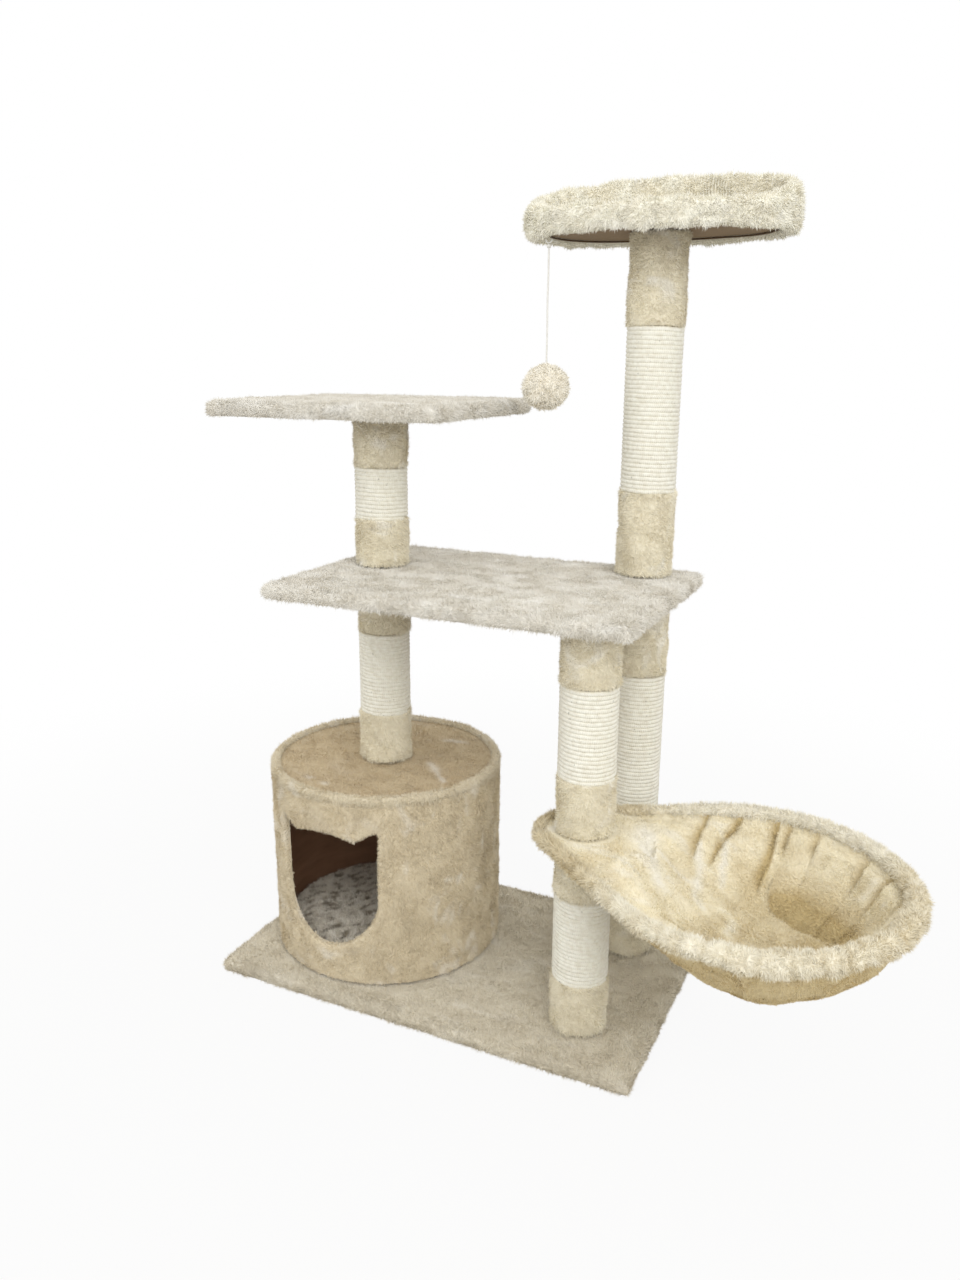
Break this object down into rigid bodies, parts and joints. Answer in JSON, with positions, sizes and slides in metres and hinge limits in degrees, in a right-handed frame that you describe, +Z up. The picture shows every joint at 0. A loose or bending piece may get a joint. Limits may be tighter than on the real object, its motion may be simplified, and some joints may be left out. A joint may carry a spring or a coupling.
{
  "type": "cat tree",
  "caption": "Free-standing plush cat tree with a round cat house, rope-wound posts, flat platforms, a swivelling hanging basket, a rimmed perch and a pompom on a string.",
  "frame": {"origin": "middle of the base's underside, on the floor", "axes": "+X along the base's long side towards the basket, +Y to the back, +Z up"},
  "size_m": [0.9292, 0.5109, 1.075],
  "materials": {
    "beige_plush": "matte",
    "tan_plush": "matte",
    "cream_plush": "matte",
    "honey_plush": "matte",
    "grey_plush": "matte",
    "taupe_lining": "matte",
    "cardboard_tube": "matte",
    "brown_card": "matte",
    "chipboard": "matte",
    "plug_wood": "matte",
    "sisal": "matte",
    "zinc_steel": "satin",
    "white_string": "matte",
    "cream_yarn": "matte"
  },
  "bodies": {
    "stand": {"base_board": "chipboard", "base_cover": "beige_plush", "base_lining": "taupe_lining", "basket_stud": "zinc_steel", "end_studs": "zinc_steel", "front_lower_lower_sleeve": "beige_plush", "front_lower_tube": "cardboard_tube", "front_lower_upper_sleeve": "beige_plush", "front_upper_lower_sleeve": "beige_plush", "front_upper_tube": "cardboard_tube", "front_upper_upper_sleeve": "beige_plush", "house_cover": "tan_plush", "house_cushion": "grey_plush", "house_floor": "chipboard", "house_lid": "chipboard", "house_lid_cover": "tan_plush", "house_piping": "tan_plush", "house_screws": "zinc_steel", "house_wall": "brown_card", "left_lower_lower_sleeve": "beige_plush", "left_lower_tube": "cardboard_tube", "left_lower_upper_sleeve": "beige_plush", "left_upper_lower_sleeve": "beige_plush", "left_upper_tube": "cardboard_tube", "left_upper_upper_sleeve": "beige_plush", "mid_board": "chipboard", "mid_cover": "beige_plush", "mid_lining": "taupe_lining", "perch_board": "chipboard", "perch_lining": "taupe_lining", "perch_pad": "cream_plush", "perch_rim": "cream_plush", "platform_studs": "zinc_steel", "post_bolts": "zinc_steel", "post_plugs": "plug_wood", "rear_lower_lower_sleeve": "beige_plush", "rear_lower_tube": "cardboard_tube", "rear_lower_upper_sleeve": "beige_plush", "sisal_ropes": "sisal", "tee_nuts": "zinc_steel", "top_lower_sleeve": "beige_plush", "top_tube": "cardboard_tube", "top_upper_sleeve": "beige_plush", "toy_eye": "white_string", "upper_board": "chipboard", "upper_cover": "beige_plush", "upper_lining": "taupe_lining"},
    "basket": {"basket_hoop": "zinc_steel", "basket_plate": "zinc_steel", "basket_roll": "honey_plush", "basket_fabric": "honey_plush"},
    "toy_hanger": {"toy_knot": "white_string"},
    "toy": {"toy_string": "white_string", "toy_pompom": "cream_yarn"}
  },
  "joints": [
    {"name": "basket_swivel", "type": "hinge", "parent": "stand", "child": "basket", "pos_m": [0.205, -0.099, 0.2875], "axis": [0, 0, 1], "range_deg": [-115, 25]},
    {"name": "toy_swing_front", "type": "hinge", "parent": "stand", "child": "toy_hanger", "pos_m": [0.08886, 0.03162, 0.979], "axis": [1, 0, 0], "range_deg": [-45, 15]},
    {"name": "toy_swing_side", "type": "hinge", "parent": "toy_hanger", "child": "toy", "pos_m": [0.08886, 0.03162, 0.9752], "axis": [0, 1, 0], "range_deg": [-18, 18]}
  ]
}
